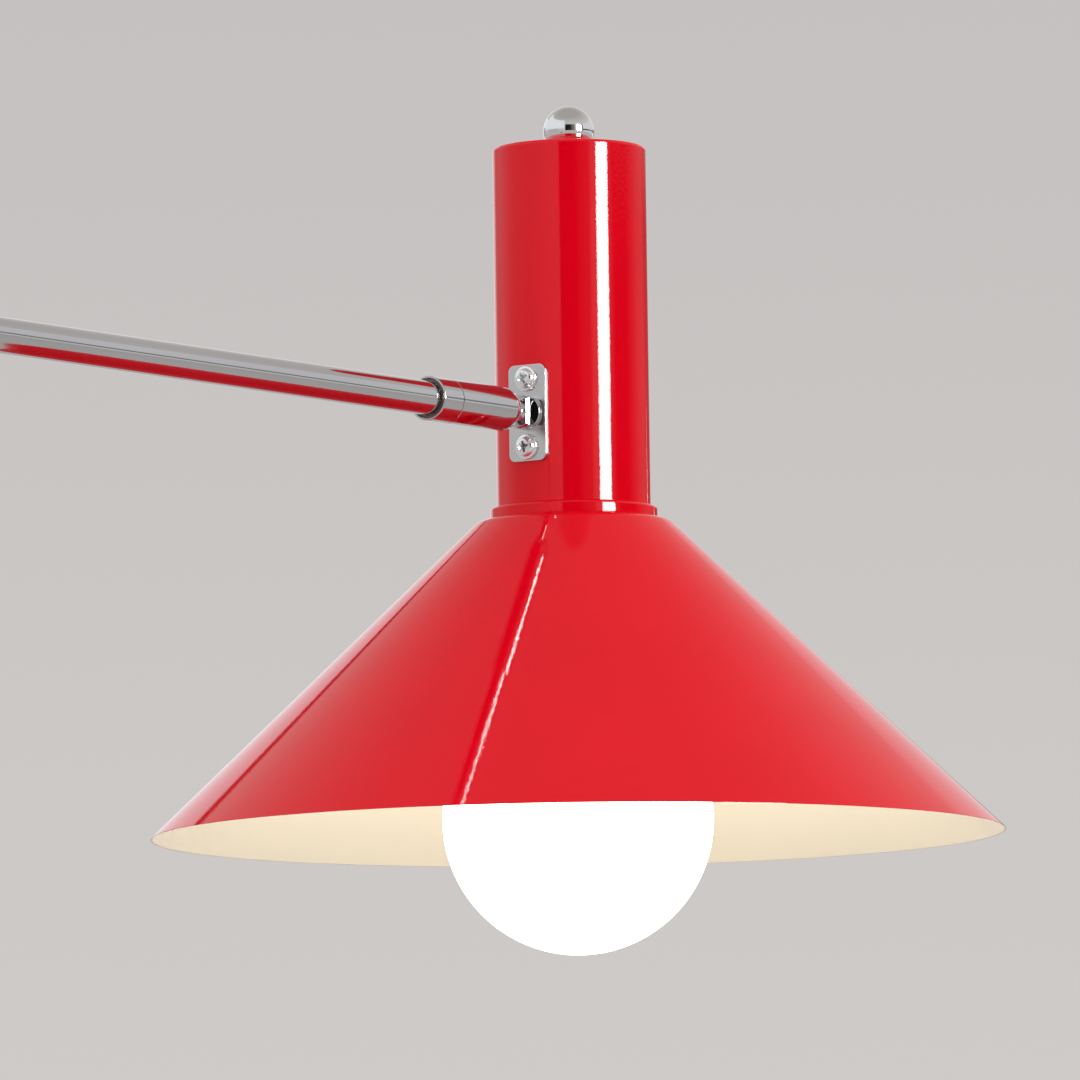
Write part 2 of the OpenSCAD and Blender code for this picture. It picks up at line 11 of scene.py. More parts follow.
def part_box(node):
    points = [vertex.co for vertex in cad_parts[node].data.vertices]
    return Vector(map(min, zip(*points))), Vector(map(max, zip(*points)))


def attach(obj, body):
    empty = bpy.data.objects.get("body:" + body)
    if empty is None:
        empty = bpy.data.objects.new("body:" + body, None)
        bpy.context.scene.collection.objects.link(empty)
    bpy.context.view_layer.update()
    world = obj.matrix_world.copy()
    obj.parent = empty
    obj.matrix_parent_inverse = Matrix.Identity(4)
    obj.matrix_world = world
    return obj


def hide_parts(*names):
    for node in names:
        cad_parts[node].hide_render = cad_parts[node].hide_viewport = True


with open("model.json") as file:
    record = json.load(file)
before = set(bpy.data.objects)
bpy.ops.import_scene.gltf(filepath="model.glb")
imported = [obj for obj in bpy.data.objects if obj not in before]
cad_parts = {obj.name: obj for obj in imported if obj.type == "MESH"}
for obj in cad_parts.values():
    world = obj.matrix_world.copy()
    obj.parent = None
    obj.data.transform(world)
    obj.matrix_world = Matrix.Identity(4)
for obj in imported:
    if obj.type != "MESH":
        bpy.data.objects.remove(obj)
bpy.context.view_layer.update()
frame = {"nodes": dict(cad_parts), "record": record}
scene = bpy.context.scene
MM = 0.001

# ---------------------------------------------------------------- places in the frame


def middle(node):
    low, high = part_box(node)
    return (low + high) / 2


HEAD_X = middle("shade").x
RIM_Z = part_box("shade")[0].z
ARM_Z = middle("arm_tube").z
ARM_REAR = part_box("arm_tube")[0].x
ARM_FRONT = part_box("arm_tube")[1].x
BALL_X = HEAD_X - 45 * MM  # the ball joint's centre
PIVOT_Z = middle("pivot_bolt").z
WEIGHT_X = middle("counterweight").x
PLATE_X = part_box("bracket_plate")[0].x

UP = Vector((0, 0, 1))
BACK = Vector((-1, 0, 0))
SIDE = Vector((0, 1, 0))


def along(axis, x=0.0, y=0.0, z=0.0):
    """A frame at a place, in metres, whose Z runs along axis."""
    return Matrix.Translation((x, y, z)) @ axis.to_track_quat("Z", "Y").to_matrix().to_4x4()


IN_HEAD = along(UP, HEAD_X, 0, RIM_Z)
ON_ARM = along(BACK, BALL_X, 0, ARM_Z)
ON_PLATE = along(BACK, PLATE_X, 0, ARM_Z)
AT_PIVOT = along(SIDE, 0, 0, PIVOT_Z)
ON_BASE = along(UP)

# ---------------------------------------------------------------- camera

# Level directions from the lamp head to the camera, and to the picture's right.
TO_CAMERA = Vector((-0.82413, -0.56641, 0))
TO_RIGHT = Vector((0.56641, -0.82413, 0))
CAMERA_DISTANCE = 4.0
CAMERA_DROP = 0.30054  # below the shade's rim
YAW, PITCH, ROLL = -0.00301, 0.10086, -0.0136
SENSOR, LENS = 36, 381.4


def make_camera():
    ahead = -TO_CAMERA
    view = (
        TO_RIGHT * (math.sin(YAW) * math.cos(PITCH))
        + ahead * (math.cos(YAW) * math.cos(PITCH))
        + UP * math.sin(PITCH)
    )
    level = TO_RIGHT * math.cos(YAW) - ahead * math.sin(YAW)
    upright = level.cross(view)
    right = level * math.cos(ROLL) + upright * math.sin(ROLL)
    top = upright * math.cos(ROLL) - level * math.sin(ROLL)
    data = bpy.data.cameras.new("camera")
    data.sensor_width = SENSOR
    data.lens = LENS
    data.clip_start, data.clip_end = 0.1, 200
    camera = bpy.data.objects.new("camera", data)
    turn = Matrix((right, top, -view)).transposed().to_4x4()
    place = Vector((HEAD_X, 0, RIM_Z)) + TO_CAMERA * CAMERA_DISTANCE - UP * CAMERA_DROP
    camera.matrix_world = Matrix.Translation(place) @ turn
    scene.collection.objects.link(camera)
    scene.camera = camera


make_camera()

# ---------------------------------------------------------------- materials


class Nodes:
    """Short ways to add and join shader nodes in one tree."""

    def __init__(self, tree):
        self.tree = tree

    def add(self, kind, **values):
        node = self.tree.nodes.new(kind)
        for name, value in values.items():
            setattr(node, name, value)
        return node

    def join(self, out, into):
        self.tree.links.new(out, into)

    def math(self, operation, a, b=None, clamp=False):
        node = self.add("ShaderNodeMath", operation=operation, use_clamp=clamp)
        for socket, value in zip(node.inputs, (a, b)):
            if value is None:
                continue
            if isinstance(value, (int, float)):
                socket.default_value = value
            else:
                self.join(value, socket)
        return node.outputs[0]

    def dot(self, a, direction):
        node = self.add("ShaderNodeVectorMath", operation="DOT_PRODUCT")
        self.join(a, node.inputs[0])
        node.inputs[1].default_value = direction
        return node.outputs["Value"]

    def ramp(self, fac, stops):
        node = self.add("ShaderNodeValToRGB")
        band = node.color_ramp
        while len(band.elements) < len(stops):
            band.elements.new(0.5)
        for element, (at, colour) in zip(band.elements, stops):
            element.position = at
            element.color = (*colour, 1)
        self.join(fac, node.inputs["Fac"])
        return node.outputs["Color"]

    def mix(self, fac, a, b):
        node = self.add("ShaderNodeMix", data_type="RGBA")
        for key, value in (("Factor", fac), ("A", a), ("B", b)):
            socket = node.inputs[key]
            if isinstance(value, (int, float)):
                socket.default_value = value
            elif isinstance(value, tuple):
                socket.default_value = (*value, 1)
            else:
                self.join(value, socket)
        return node.outputs["Result"]


def material(
    name,
    colour,
    roughness,
    metallic=0.0,
    vary=0.03,
    rough_vary=0.04,
    grain=400.0,
    bump=1e-6,
    stretch=(1, 1, 1),
    speck=None,
    **sockets,
):
    """A Principled material with cloudy colour and roughness and a fine bump.

    Everything is in object space. speck is (scale, size, colour) of small dots; coat and the other
    sockets set the shader's inputs by name.
    """
    m = bpy.data.materials.new(name)
    m.use_nodes = True
    n = Nodes(m.node_tree)
    shader = m.node_tree.nodes["Principled BSDF"]
    place = n.add("ShaderNodeTexCoord").outputs["Object"]

    cloud = n.add("ShaderNodeTexNoise")
    cloud.inputs["Scale"].default_value = 22
    cloud.inputs["Detail"].default_value = 5
    n.join(place, cloud.inputs["Vector"])
    darker = tuple(c * (1 - vary) for c in colour)
    lighter = tuple(min(1.0, c * (1 + vary)) for c in colour)
    tint = n.ramp(cloud.outputs["Fac"], [(0.35, darker), (0.65, lighter)])
    if speck:
        dots = n.add("ShaderNodeTexVoronoi")
        dots.inputs["Scale"].default_value = speck[0]
        n.join(place, dots.inputs["Vector"])
        spot = n.math("LESS_THAN", dots.outputs["Distance"], speck[1])
        tint = n.mix(spot, tint, speck[2])
    n.join(tint, shader.inputs["Base Color"])

    smear = n.add("ShaderNodeTexNoise")
    smear.inputs["Scale"].default_value = 75
    smear.inputs["Detail"].default_value = 4
    n.join(place, smear.inputs["Vector"])
    span = n.add("ShaderNodeMapRange")
    span.inputs["From Min"].default_value = 0.3
    span.inputs["From Max"].default_value = 0.7
    span.inputs["To Min"].default_value = max(0.0, roughness - rough_vary)
    span.inputs["To Max"].default_value = roughness + rough_vary
    n.join(smear.outputs["Fac"], span.inputs["Value"])
    n.join(span.outputs["Result"], shader.inputs["Roughness"])

    pull = n.add("ShaderNodeMapping")
    pull.inputs["Scale"].default_value = stretch
    n.join(place, pull.inputs["Vector"])
    peel = n.add("ShaderNodeTexNoise")
    peel.inputs["Scale"].default_value = grain
    peel.inputs["Detail"].default_value = 2
    n.join(pull.outputs["Vector"], peel.inputs["Vector"])
    relief = n.add("ShaderNodeBump")
    relief.inputs["Strength"].default_value = 1
    relief.inputs["Distance"].default_value = bump
    n.join(peel.outputs["Fac"], relief.inputs["Height"])
    n.join(relief.outputs["Normal"], shader.inputs["Normal"])
    if "coat" in sockets:
        shader.inputs["Coat Weight"].default_value = sockets.pop("coat")
        n.join(relief.outputs["Normal"], shader.inputs["Coat Normal"])

    shader.inputs["Metallic"].default_value = metallic
    for key, value in sockets.items():
        shader.inputs[key.replace("_", " ").title().replace("Ior", "IOR")].default_value = value
    return m


lacquer = material(
    "red_lacquer", (0.80, 0.0008, 0.012), 0.45, grain=850, bump=1.15e-5, vary=0.02,
    coat=1.0, coat_roughness=0.012, coat_ior=1.4, specular_ior_level=0.0,
)
enamel = material(
    "cream_enamel", (0.90, 0.83, 0.68), 0.42, grain=700, bump=6e-6, vary=0.015, rough_vary=0.05,
)
chrome = material(
    "bright_chrome", (0.53, 0.53, 0.545), 0.045, metallic=1.0, vary=0.02, rough_vary=0.02,
    grain=260, bump=1.2e-6,
)
# A brighter copy of the bright chrome for the switch ball alone: painted reflection, so that the
# ball mirrors the room lighter than the rest of the chrome does.
lit_knob_chrome = material(
    "lit_knob_chrome", (0.74, 0.74, 0.75), 0.05, metallic=1.0, vary=0.02, rough_vary=0.02,
    grain=260, bump=1.2e-6,
)
nickel = material(
    "satin_nickel", (0.66, 0.66, 0.675), 0.2, metallic=1.0, vary=0.03, rough_vary=0.04,
    grain=900, bump=2e-6, stretch=(1, 1, 0.08),
)
screw_nickel = material(
    "screw_nickel", (0.86, 0.86, 0.865), 0.26, metallic=1.0, vary=0.03, rough_vary=0.05,
    grain=800, bump=3e-6,
)
# The floor of the gap in the collar's open back, brownish: painted shade, a made-up ring whose
# colour stands for the shade in that gap.
gap_shade = material("painted_gap_shade", (0.30, 0.21, 0.20), 0.6, vary=0.1, grain=1500, bump=1.5e-5)
zinc = material(
    "zinc_steel", (0.55, 0.56, 0.57), 0.34, metallic=1.0, vary=0.09, rough_vary=0.08,
    grain=600, bump=6e-6,
)
iron = material(
    "raw_iron", (0.045, 0.046, 0.05), 0.75, metallic=0.3, vary=0.2, grain=900, bump=1.2e-4,
)
rubber = material(
    "black_rubber", (0.018, 0.018, 0.019), 0.72, vary=0.12, grain=1600, bump=2.5e-5,
)
nylon = material(
    "white_nylon", (0.74, 0.72, 0.66), 0.42, grain=900, bump=8e-6, subsurface_weight=0.1,
)
ceramic = material(
    "porcelain", (0.82, 0.79, 0.72), 0.12, grain=180, bump=1.2e-5,
    speck=(420, 0.05, (0.6, 0.55, 0.45)),
)
cream_plastic = material("holder_plastic", (0.84, 0.77, 0.62), 0.32, grain=1200, bump=1e-5)
brass = material(
    "contact_brass", (0.72, 0.52, 0.22), 0.26, metallic=1.0, vary=0.08, grain=700, bump=4e-6,
)
sheath = material("lead_sheath", (0.72, 0.72, 0.70), 0.45, grain=900, bump=1e-5)
black_plastic = material(
    "black_plastic", (0.02, 0.02, 0.021), 0.5, grain=1300, bump=2e-5, vary=0.15,
)
cap_metal = material(
    "cap_nickel", (0.62, 0.60, 0.56), 0.25, metallic=1.0, vary=0.06, grain=900, bump=4e-6,
)
led_white = material("led_white", (0.82, 0.80, 0.72), 0.6, grain=900, bump=1e-5)
BULB_LIGHT = 4.0  # bright enough to burn out to white, as in the photograph
opal = material(
    "opal_glass", (0.93, 0.92, 0.89), 0.12, grain=90, bump=8e-6, vary=0.01,
    emission_color=(1.0, 0.94, 0.83, 1), emission_strength=BULB_LIGHT,
)

# ---------------------------------------------------------------- mesh tools


def eased(corners, closed=False, steps=6):
    """An outline through corners (a, b, radius), each rounded to its radius."""
    out = []
    last = len(corners) - 1
    for i, (a, b, radius) in enumerate(corners):
        here = Vector((a, b))
        if radius <= 0 or (not closed and i in (0, last)):
            out.append(here)
            continue
        back = (Vector(corners[i - 1][:2]) - here).normalized()
        on = (Vector(corners[(i + 1) % (last + 1)][:2]) - here).normalized()
        half = back.angle(on) / 2
        centre = here + (back + on).normalized() * (radius / math.sin(half))
        first = here + back * (radius / math.tan(half)) - centre
        final = here + on * (radius / math.tan(half)) - centre
        sweep = first.angle(final)
        for k in range(steps + 1):
            t = k / steps
            blend = first * math.sin((1 - t) * sweep) + final * math.sin(t * sweep)
            out.append(centre + blend / math.sin(sweep))
    return out


def line(*points):
    return [Vector(point) for point in points]


def arc(a, b, radius, start, end, steps=16):
    """Points of an arc about (a, b), angles in degrees from +a."""
    turn = [math.radians(start + (end - start) * k / steps) for k in range(steps + 1)]
    return [Vector((a + radius * math.cos(t), b + radius * math.sin(t))) for t in turn]


def to_mesh(name, bm):
    bmesh.ops.recalc_face_normals(bm, faces=bm.faces)
    mesh = bpy.data.meshes.new(name)
    bm.to_mesh(mesh)
    bm.free()
    return mesh


def turned(name, outline, place, sides=96, closed=False, flutes=None, second=None):
    """A body turned about place's Z from an outline of (radius, height) in mm.

    flutes is (count, depth, low, high): grooves round the outside between two heights. Faces from
    outline point number second onwards take the second material.
    """
    bm = bmesh.new()
    rings = []
    widest = max(radius for radius, height in outline)
    for radius, height in outline:
        if radius < 1e-4:
            rings.append([bm.verts.new(place @ Vector((0, 0, height * MM)))])
            continue
        ring = []
        for k in range(sides):
            a = 2 * math.pi * k / sides
            r = radius
            if flutes and flutes[2] <= height <= flutes[3] and radius > 0.9 * widest:
                r -= flutes[1] * (0.5 - 0.5 * math.cos(flutes[0] * a)) ** 2
            point = Vector((r * MM * math.cos(a), r * MM * math.sin(a), height * MM))
            ring.append(bm.verts.new(place @ point))
        rings.append(ring)
    count = len(rings)
    for i in range(count if closed else count - 1):
        a, b = rings[i], rings[(i + 1) % count]
        for k in range(sides):
            n = (k + 1) % sides
            if len(a) == 1 and len(b) == 1:
                break
            if len(a) == 1:
                face = bm.faces.new((a[0], b[k], b[n]))
            elif len(b) == 1:
                face = bm.faces.new((a[k], b[0], a[n]))
            else:
                face = bm.faces.new((a[k], b[k], b[n], a[n]))
            face.material_index = 1 if second is not None and i >= second else 0
    return to_mesh(name, bm)


def drill(radius, low, high, place, sides):
    """A round tool in mm along place's Z, to bore a hole with."""
    return turned("tool", line((0, low), (radius, low), (radius, high), (0, high)), place, sides)


def turned_by(angle):
    return Matrix.Rotation(math.radians(angle), 4, "Z")


def lofted(name, sections, place):
    """A body through (outline, height) sections in mm along place's Z, all with as many points."""
    bm = bmesh.new()
    rings = []
    for outline, height in sections:
        points = (Vector((a * MM, b * MM, height * MM)) for a, b in outline)
        rings.append([bm.verts.new(place @ point) for point in points])
    bm.faces.new(rings[0])
    bm.faces.new(rings[-1])
    n = len(rings[0])
    for a, b in zip(rings, rings[1:]):
        for k in range(n):
            bm.faces.new((a[k], a[(k + 1) % n], b[(k + 1) % n], b[k]))
    return to_mesh(name, bm)


def prism(name, outline, low, high, place):
    """A prism of an outline in mm, from low to high along place's Z."""
    return lofted(name, [(outline, low), (outline, high)], place)


def evaluated(thing):
    """The object's mesh with its modifiers applied."""
    graph = bpy.context.evaluated_depsgraph_get()
    return bpy.data.meshes.new_from_object(thing.evaluated_get(graph))


def carved(mesh, tool, operation="DIFFERENCE"):
    """mesh with tool cut from it; INTERSECT keeps what is inside tool, and UNION joins them."""
    body = bpy.data.objects.new("body", mesh)
    other = bpy.data.objects.new("tool", tool)
    for o in (body, other):
        scene.collection.objects.link(o)
    cut = body.modifiers.new("cut", "BOOLEAN")
    cut.operation = operation
    cut.solver = "EXACT"
    cut.object = other
    result = evaluated(body)
    for o in (body, other):
        bpy.data.objects.remove(o)
    result.name = mesh.name
    return result


def bevelled(mesh, width, segments, angle=28):
    """mesh with its edges rounded to width in mm."""
    body = bpy.data.objects.new("body", mesh)
    scene.collection.objects.link(body)
    edge = body.modifiers.new("edge", "BEVEL")
    edge.width = width * MM
    edge.segments = segments
    edge.limit_method = "ANGLE"
    edge.angle_limit = math.radians(angle)
    edge.use_clamp_overlap = True
    result = evaluated(body)
    bpy.data.objects.remove(body)
    return result


def merged(name, *meshes):
    bm = bmesh.new()
    for mesh in meshes:
        bm.from_mesh(mesh)
    return to_mesh(name, bm)


def piece(name, mesh, body, slot, looks, *nodes, sharp=32):
    """A shown piece that rides on a body and stands for CAD nodes."""
    mesh.name = name
    for look in looks if isinstance(looks, (list, tuple)) else [looks]:
        mesh.materials.append(look)
    mesh.shade_smooth()
    mesh.set_sharp_from_angle(angle=math.radians(sharp))
    made = bpy.data.objects.new(name, mesh)
    scene.collection.objects.link(made)
    even = made.modifiers.new("even_normals", "WEIGHTED_NORMAL")
    even.keep_sharp = True
    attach(made, body)
    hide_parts(*nodes)


# ---------------------------------------------------------------- lamp head

# In mm; heights are above the shade's rim.
SHADE_R, SHADE_H, SHADE_TOP_R = 150, 111, 33.4
SHADE_WALL = 0.6
HOLE_R = 20
COLLAR_TOP, COLLAR_R = 115.4, 29.35
HOUSING_R, HOUSING_TOP = 27, 242.9
QUARTERS = ((1, 1), (-1, 1), (-1, -1), (1, -1))


def make_shade():
    """The spun cone: lacquer outside and round the rim, enamel inside."""
    slope = math.atan2(SHADE_H, SHADE_R - SHADE_TOP_R)
    flat = SHADE_WALL / math.sin(slope)  # the wall measured level
    drop = SHADE_WALL * math.tan(slope / 2)
    under = SHADE_H - SHADE_WALL
    outside = eased(
        [(HOLE_R, SHADE_H, 0), (SHADE_TOP_R, SHADE_H, 6.0), (SHADE_R, 0, 0)],
        steps=14,
    )[:-1]
    outside += line((SHADE_R - 0.12, 0.12), (SHADE_R - 0.1, 0), (SHADE_R - 0.35, 0))
    inside = eased(
        [(SHADE_R - flat, 0.1, 0), (SHADE_TOP_R - drop, under, 5.4), (HOLE_R, under, 0)],
        steps=14,
    )
    seam = len(outside) - 1
    mesh = turned("shade", outside + inside, IN_HEAD, sides=320, closed=True, second=seam)
    piece("shade", mesh, "head", "red_lacquer", [lacquer, enamel], "shade")


def make_housing():
    wall, knob_hole = 1.0, 5.3
    outline = eased(
        [
            (HOUSING_R - 0.25, COLLAR_TOP, 0),
            (HOUSING_R, COLLAR_TOP + 0.25, 0.15),
            (HOUSING_R, HOUSING_TOP, 1.3),
            (knob_hole, HOUSING_TOP, 0.2),
            (knob_hole, HOUSING_TOP - wall, 0),
            (HOUSING_R - wall, HOUSING_TOP - wall, 0.6),
            (HOUSING_R - wall, COLLAR_TOP, 0),
        ],
        closed=True,
        steps=8,
    )
    mesh = turned("housing", outline, IN_HEAD, sides=256, closed=True)
    piece("housing", mesh, "head", "red_lacquer", lacquer, "housing")


def make_collar():
    """The ring between shade and housing, with the lip that the housing fits over."""
    low, high = SHADE_H + 0.02, COLLAR_TOP - 0.05
    lip_r, lip_top = HOUSING_R - 1.2, COLLAR_TOP + 5.5
    outline = eased(
        [
            (HOLE_R, low, 0),
            (COLLAR_R, low, 0.45),
            (COLLAR_R, high, 0.9),
            (lip_r, high, 0),
            (lip_r, lip_top, 0),
            (HOLE_R, lip_top, 0),
        ],
        closed=True,
        steps=8,
    )
    mesh = turned("collar_ring", outline, IN_HEAD, sides=256, closed=True)
    piece("collar_ring", mesh, "head", "red_lacquer", lacquer, "collar_ring")


def make_knob_ball():
    """The switch's ball, cut flat underneath where it stands over the housing."""
    radius, foot = 9.0, 5.4
    centre = HOUSING_TOP + 0.5 + foot
    under = centre - foot
    start = -math.degrees(math.asin(foot / radius))
    outline = line((0, under + 2), (6.3, under + 2), (6.3, under + 0.15), (6.5, under))
    outline += arc(0, centre, radius, start, 90, 40)[:-1] + line((0, centre + radius))
    mesh = turned("switch_knob", outline, IN_HEAD, sides=128)
    piece("switch_knob", mesh, "switch", "bright_chrome", lit_knob_chrome, "switch_knob")


def make_plate():
    """The joint's plate: a flat front with eased edges, and a back that fits the housing."""
    width, length, corner, edge = 15.5, 34.0, 2.5, 0.25
    back_r = HOUSING_R + 0.03
    face_x = (HEAD_X - PLATE_X) / MM
    bm = bmesh.new()
    rings = []
    # A depth of None is the curved back.
    for inset, depth in ((edge, 0.0), (edge * 0.3, edge * 0.3), (0, edge), (0, None)):
        w, h, r = width / 2 - inset, length / 2 - inset, corner - inset
        outline = []
        for k, (sa, sb) in enumerate(QUARTERS):
            outline += arc(sa * (w - r), sb * (h - r), r, 90 * k, 90 * k + 90, 10)
        ring = []
        for across, up in outline:
            d = face_x - math.sqrt(back_r**2 - across**2) if depth is None else depth
            ring.append(bm.verts.new((PLATE_X + d * MM, across * MM, ARM_Z + up * MM)))
        rings.append(ring)
    bm.faces.new(rings[0])
    for a, b in zip(rings, rings[1:]):
        for k in range(len(a)):
            n = (k + 1) % len(a)
            bm.faces.new((a[k], b[k], b[n], a[n]))
    # The back is closed in strips from side to side, so that it follows the curve.
    back = rings[-1]
    half = len(back) // 2
    for k in range(half - 1):
        j, m = (half - 1 - k) % len(back), (half + k) % len(back)
        jn, mn = (j - 1) % len(back), (m + 1) % len(back)
        if len({j, m, jn, mn}) == 4:
            bm.faces.new((back[j], back[m], back[mn], back[jn]))
    mesh = to_mesh("bracket_plate", bm)
    piece("bracket_plate", mesh, "head", "bright_chrome", nickel, "bracket_plate")


def cross_cutter(place, turn, wide=4.3, deep=1.9):
    """Tools for a tapered cross recess with small marks between its arms, mouth at Z = 0."""
    above = 0.6
    mark = [(-2.1, -0.16), (2.1, -0.16), (2.1, 0.16), (-2.1, 0.16)]
    tools = []
    for angle in (turn, turn + 90):
        blade = [
            ([(a * half_l, b * half_w) for a, b in QUARTERS], z)
            for z, half_l, half_w in ((above, wide / 2 + 0.35, 0.52), (-deep, 0.75, 0.28))
        ]
        tools.append(lofted("tool", blade, place @ turned_by(angle)))
        tools.append(prism("tool", mark, -0.45, above, place @ turned_by(angle + 45)))
    core = line((0, -deep - 0.3), (0.55, -deep), (1.25, above), (0, above))
    return tools + [turned("tool", core, place, sides=24)]


def make_plate_screws():
    spacing, mouth_at, pitch = 24, 2.48, 0.5
    head = eased(
        [
            (0, 2.55, 0), (2.5, 2.5, 1.2), (3.45, 1.75, 0.7), (3.5, 1.1, 0.2),
            (4.5, 1.0, 0.4), (4.5, 0.05, 0.12), (2, 0.05, 0),
        ],
        steps=7,
    )
    thread = []
    for k in range(16):
        z = -0.4 - k * pitch
        thread += line((1.95, z), (1.7, z - pitch / 2))
    tip = line((1.4, -8.9), (0, -9))
    both = []
    for up, turn in ((spacing / 2, 24), (-spacing / 2, 12)):
        place = along(BACK, PLATE_X, 0, ARM_Z + up * MM)
        mesh = turned("screw", head + thread + tip, place, sides=72)
        mouth = place @ Matrix.Translation((0, 0, mouth_at * MM))
        for tool in cross_cutter(mouth, turn):
            mesh = carved(mesh, tool)
        both.append(mesh)
    mesh = merged("plate_screws", *both)
    piece("plate_screws", mesh, "head", "bright_chrome", screw_nickel, "plate_screws", sharp=28)


def make_ball_stud():
    """The ball on its neck, with a collar that has two upright flats for a spanner."""
    neck, ball_at, ball, wire_bore = 2.2, 16.8, 5.0, 1.3
    start = math.degrees(math.acos(neck / ball))
    stop = 52
    outline = eased(
        [
            (wire_bore, -1.1, 0), (3, -1.1, 0.1), (3, 0.02, 0), (6.1, 0.02, 0.15),
            (6.1, 1.1, 0.4), (3.4, 1.2, 0.1), (3.4, 5.35, 0.2), (neck, 6.4, 1.0), (neck, 11, 0),
        ],
        steps=7,
    )
    outline += arc(0, ball_at, ball, -start, stop, 30)
    outline += line((wire_bore, ball_at + ball * math.sin(math.radians(stop))))
    mesh = turned("ball_stud", outline, ON_PLATE, sides=96, closed=True)

    def section(inset):
        flat, round_r = 3.9 - inset, 6.0 - inset
        lean = math.degrees(math.acos(flat / round_r))
        near = arc(0, 0, round_r, lean, 180 - lean, 24)
        return near + arc(0, 0, round_r, 180 + lean, 360 - lean, 24)

    # Insets and heights, with the wide chamfer last.
    steps = [(0.1, 0.9), (0, 1.0), (0, 3.95), (0.04, 4.1), (0.7, 5.2), (0.85, 5.28)]
    collar = lofted("tool", [(section(inset), height) for inset, height in steps], ON_PLATE)
    collar = carved(collar, drill(1.8, -3, 9, ON_PLATE, sides=48))
    mesh = carved(mesh, collar, "UNION")
    piece("ball_stud", mesh, "head", "bright_chrome", chrome, "ball_stud")


# ---------------------------------------------------------------- ball joint and arm

# In mm; heights are from the ball's centre back along the arm.
SOCKET_R, SEAT_R, BORE_R = 7.75, 5.68, 5.75
SEAM_AT, RING_END = 32.0, 43.5
ARM_R = 6


def make_socket():
    """The sleeve round the ball, with a hole for its grub screw."""
    mouth, lip_r, grub_r, grub_at = -45.2, 4.35, 1.5, 26
    lip = math.degrees(math.acos(lip_r / SEAT_R))
    outline = arc(0, 0, SOCKET_R, mouth, 0, 28)
    outline += line((SOCKET_R, SEAM_AT - 0.1), (SOCKET_R - 0.1, SEAM_AT))
    outline += line((BORE_R, SEAM_AT), (BORE_R, 0.6)) + arc(0, 0, SEAT_R, 0, -lip, 16)
    mesh = turned("socket_body", outline, ON_ARM, sides=128, closed=True)
    across = along(SIDE, BALL_X - grub_at * MM, 0, ARM_Z)
    mesh = carved(mesh, drill(grub_r, 4, 12, across, sides=32))
    piece("socket_body", mesh, "socket", "bright_chrome", chrome, "socket_body")


def make_ring():
    """The fixed collar behind the seam; its open back shows a brownish ring round the arm, which
    is painted shade in the gap.
    """
    front, lip, gap_shade_at, tube_at = SEAM_AT + 0.3, SOCKET_R - 0.8, RING_END - 1.4, 35
    metal = eased(
        [
            (BORE_R, front, 0), (SOCKET_R, front, 0.1), (SOCKET_R, RING_END, 0.38),
            (lip, RING_END, 0.3), (lip, RING_END - 0.7, 0),
        ],
        steps=5,
    )
    inside = line((lip, gap_shade_at), (6.02, gap_shade_at), (6.02, tube_at), (BORE_R, tube_at))
    edge = len(metal) - 1
    mesh = turned("socket_collar", metal + inside, ON_ARM, sides=128, closed=True, second=edge)
    piece("socket_collar", mesh, "arm", "bright_chrome", [chrome, gap_shade], "socket_collar")


def make_arm_tube():
    length, bore, parts = (ARM_FRONT - ARM_REAR) / MM, 5, 12
    outline = line((bore, 0), (ARM_R - 0.1, 0), (ARM_R, 0.1))
    outline += line(*((ARM_R, length * k / parts) for k in range(1, parts)))
    outline += line((ARM_R, length - 0.1), (ARM_R - 0.1, length), (bore, length))
    place = along(BACK, ARM_FRONT, 0, ARM_Z)
    mesh = turned("arm_tube", outline, place, sides=128, closed=True)
    piece("arm_tube", mesh, "arm", "bright_chrome", chrome, "arm_tube")


def make_end_ball():
    """The ball on the arm's rear end, with its plug inside the tube."""
    radius, centre, plug = 9, 6, -14
    outline = line((0, plug), (4.7, plug), (4.98, plug + 0.3), (4.98, 0), (6.5, 0))
    outline += arc(0, centre, radius, -41.0, 90, 36)[:-1] + line((0, centre + radius))
    mesh = turned("arm_end_ball", outline, along(BACK, ARM_REAR, 0, ARM_Z), sides=96)
    piece("arm_end_ball", mesh, "arm", "bright_chrome", chrome, "arm_end_ball")


def make_arm_block():
    """The block that holds the arm above the pivot bolt."""
    radius, half, through = 11, 8, 20
    drop = (ARM_Z - PIVOT_Z) / MM
    # This place's X and Y are the frame's X and -Z.
    side_on = Matrix.Translation((0, 0, PIVOT_Z)) @ Matrix.Rotation(math.radians(-90), 4, "X")
    outline = arc(0, 0, radius, 0, 180, 40) + arc(0, -drop, radius, 180, 360, 40)
    mesh = bevelled(prism("arm_block", outline, -half, half, side_on), 0.7, 4)
    arm_way = along(BACK, 0, 0, ARM_Z)
    mesh = carved(mesh, drill(ARM_R + 0.05, -through, through, arm_way, sides=64))
    mesh = carved(mesh, drill(4.07, -through, through, AT_PIVOT, sides=48))
    mesh = carved(mesh, drill(2.0, 0, through, along(UP, 0, 0, ARM_Z), sides=32))
    piece("arm_block", mesh, "arm", "bright_chrome", chrome, "arm_block")


# ---------------------------------------------------------------- counterweight


def make_counterweight():
    radius, half, bore = 30, 44, ARM_R + 0.07
    outline = eased(
        [(bore, -half, 0.4), (radius, -half, 1.6), (radius, half, 1.6), (bore, half, 0.4)],
        closed=True,
        steps=8,
    )
    place = along(BACK, WEIGHT_X, 0, ARM_Z)
    mesh = turned("counterweight", outline, place, sides=256, closed=True)
    mesh = carved(mesh, drill(2.5, 2, 40, along(UP, WEIGHT_X, 0, ARM_Z), sides=96))
    piece("counterweight", mesh, "counterweight", "red_lacquer", lacquer, "counterweight")


